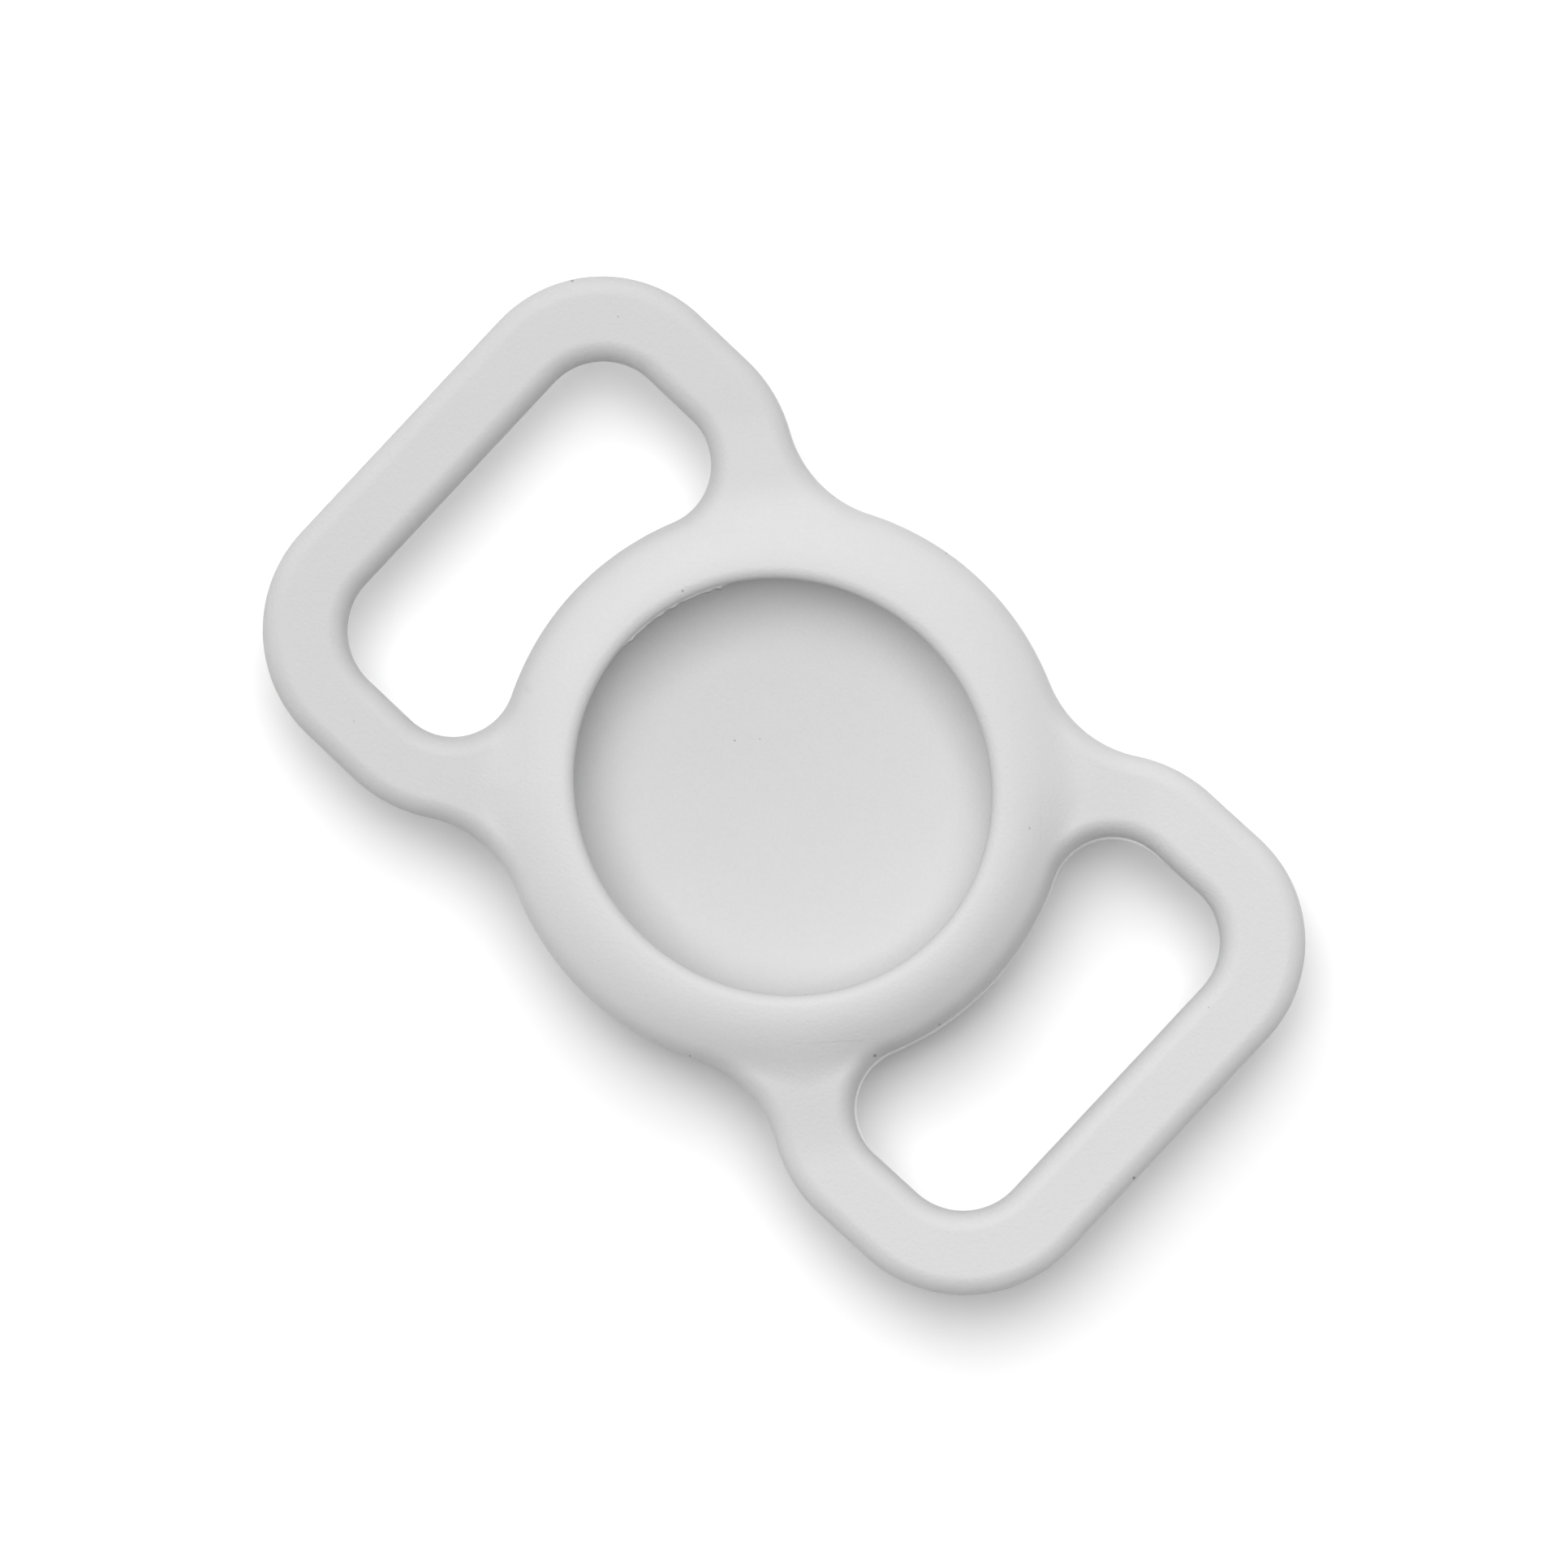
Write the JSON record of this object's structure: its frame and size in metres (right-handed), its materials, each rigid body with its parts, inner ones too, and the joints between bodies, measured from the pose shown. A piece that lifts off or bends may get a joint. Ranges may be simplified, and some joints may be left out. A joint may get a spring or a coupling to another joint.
{
  "type": "tracker tag holder",
  "caption": "Soft silicone strap holder for a round tracker tag: dished pocket with a retaining lip, and a strap loop on flexible necks at either end.",
  "frame": {"origin": "middle of the flat of the back, on the pocket's axis", "axes": "+X along the holder towards the right loop, +Y across it, +Z out of the pocket's mouth"},
  "size_m": [0.068, 0.037, 0.0104],
  "materials": {
    "silicone": "matte, soft to the touch"
  },
  "bodies": {
    "pocket": {"pocket_shell": "silicone", "pocket_lip": "silicone", "left_upper_neck": "silicone", "left_lower_neck": "silicone", "right_upper_neck": "silicone", "right_lower_neck": "silicone"},
    "left_loop": {"left_loop": "silicone"},
    "right_loop": {"right_loop": "silicone"}
  },
  "joints": [
    {"name": "left_loop_flex", "type": "hinge", "parent": "pocket", "child": "left_loop", "pos_m": [-0.0195, 0, 0.0059], "axis": [0, -1, 0], "range_deg": [-60, 18], "stiffness_Nm_per_rad": 0.018, "deforming": ["left_upper_neck", "left_lower_neck"]},
    {"name": "right_loop_flex", "type": "hinge", "parent": "pocket", "child": "right_loop", "pos_m": [0.0195, 0, 0.0059], "axis": [0, 1, 0], "range_deg": [-60, 18], "stiffness_Nm_per_rad": 0.018, "deforming": ["right_upper_neck", "right_lower_neck"]}
  ]
}
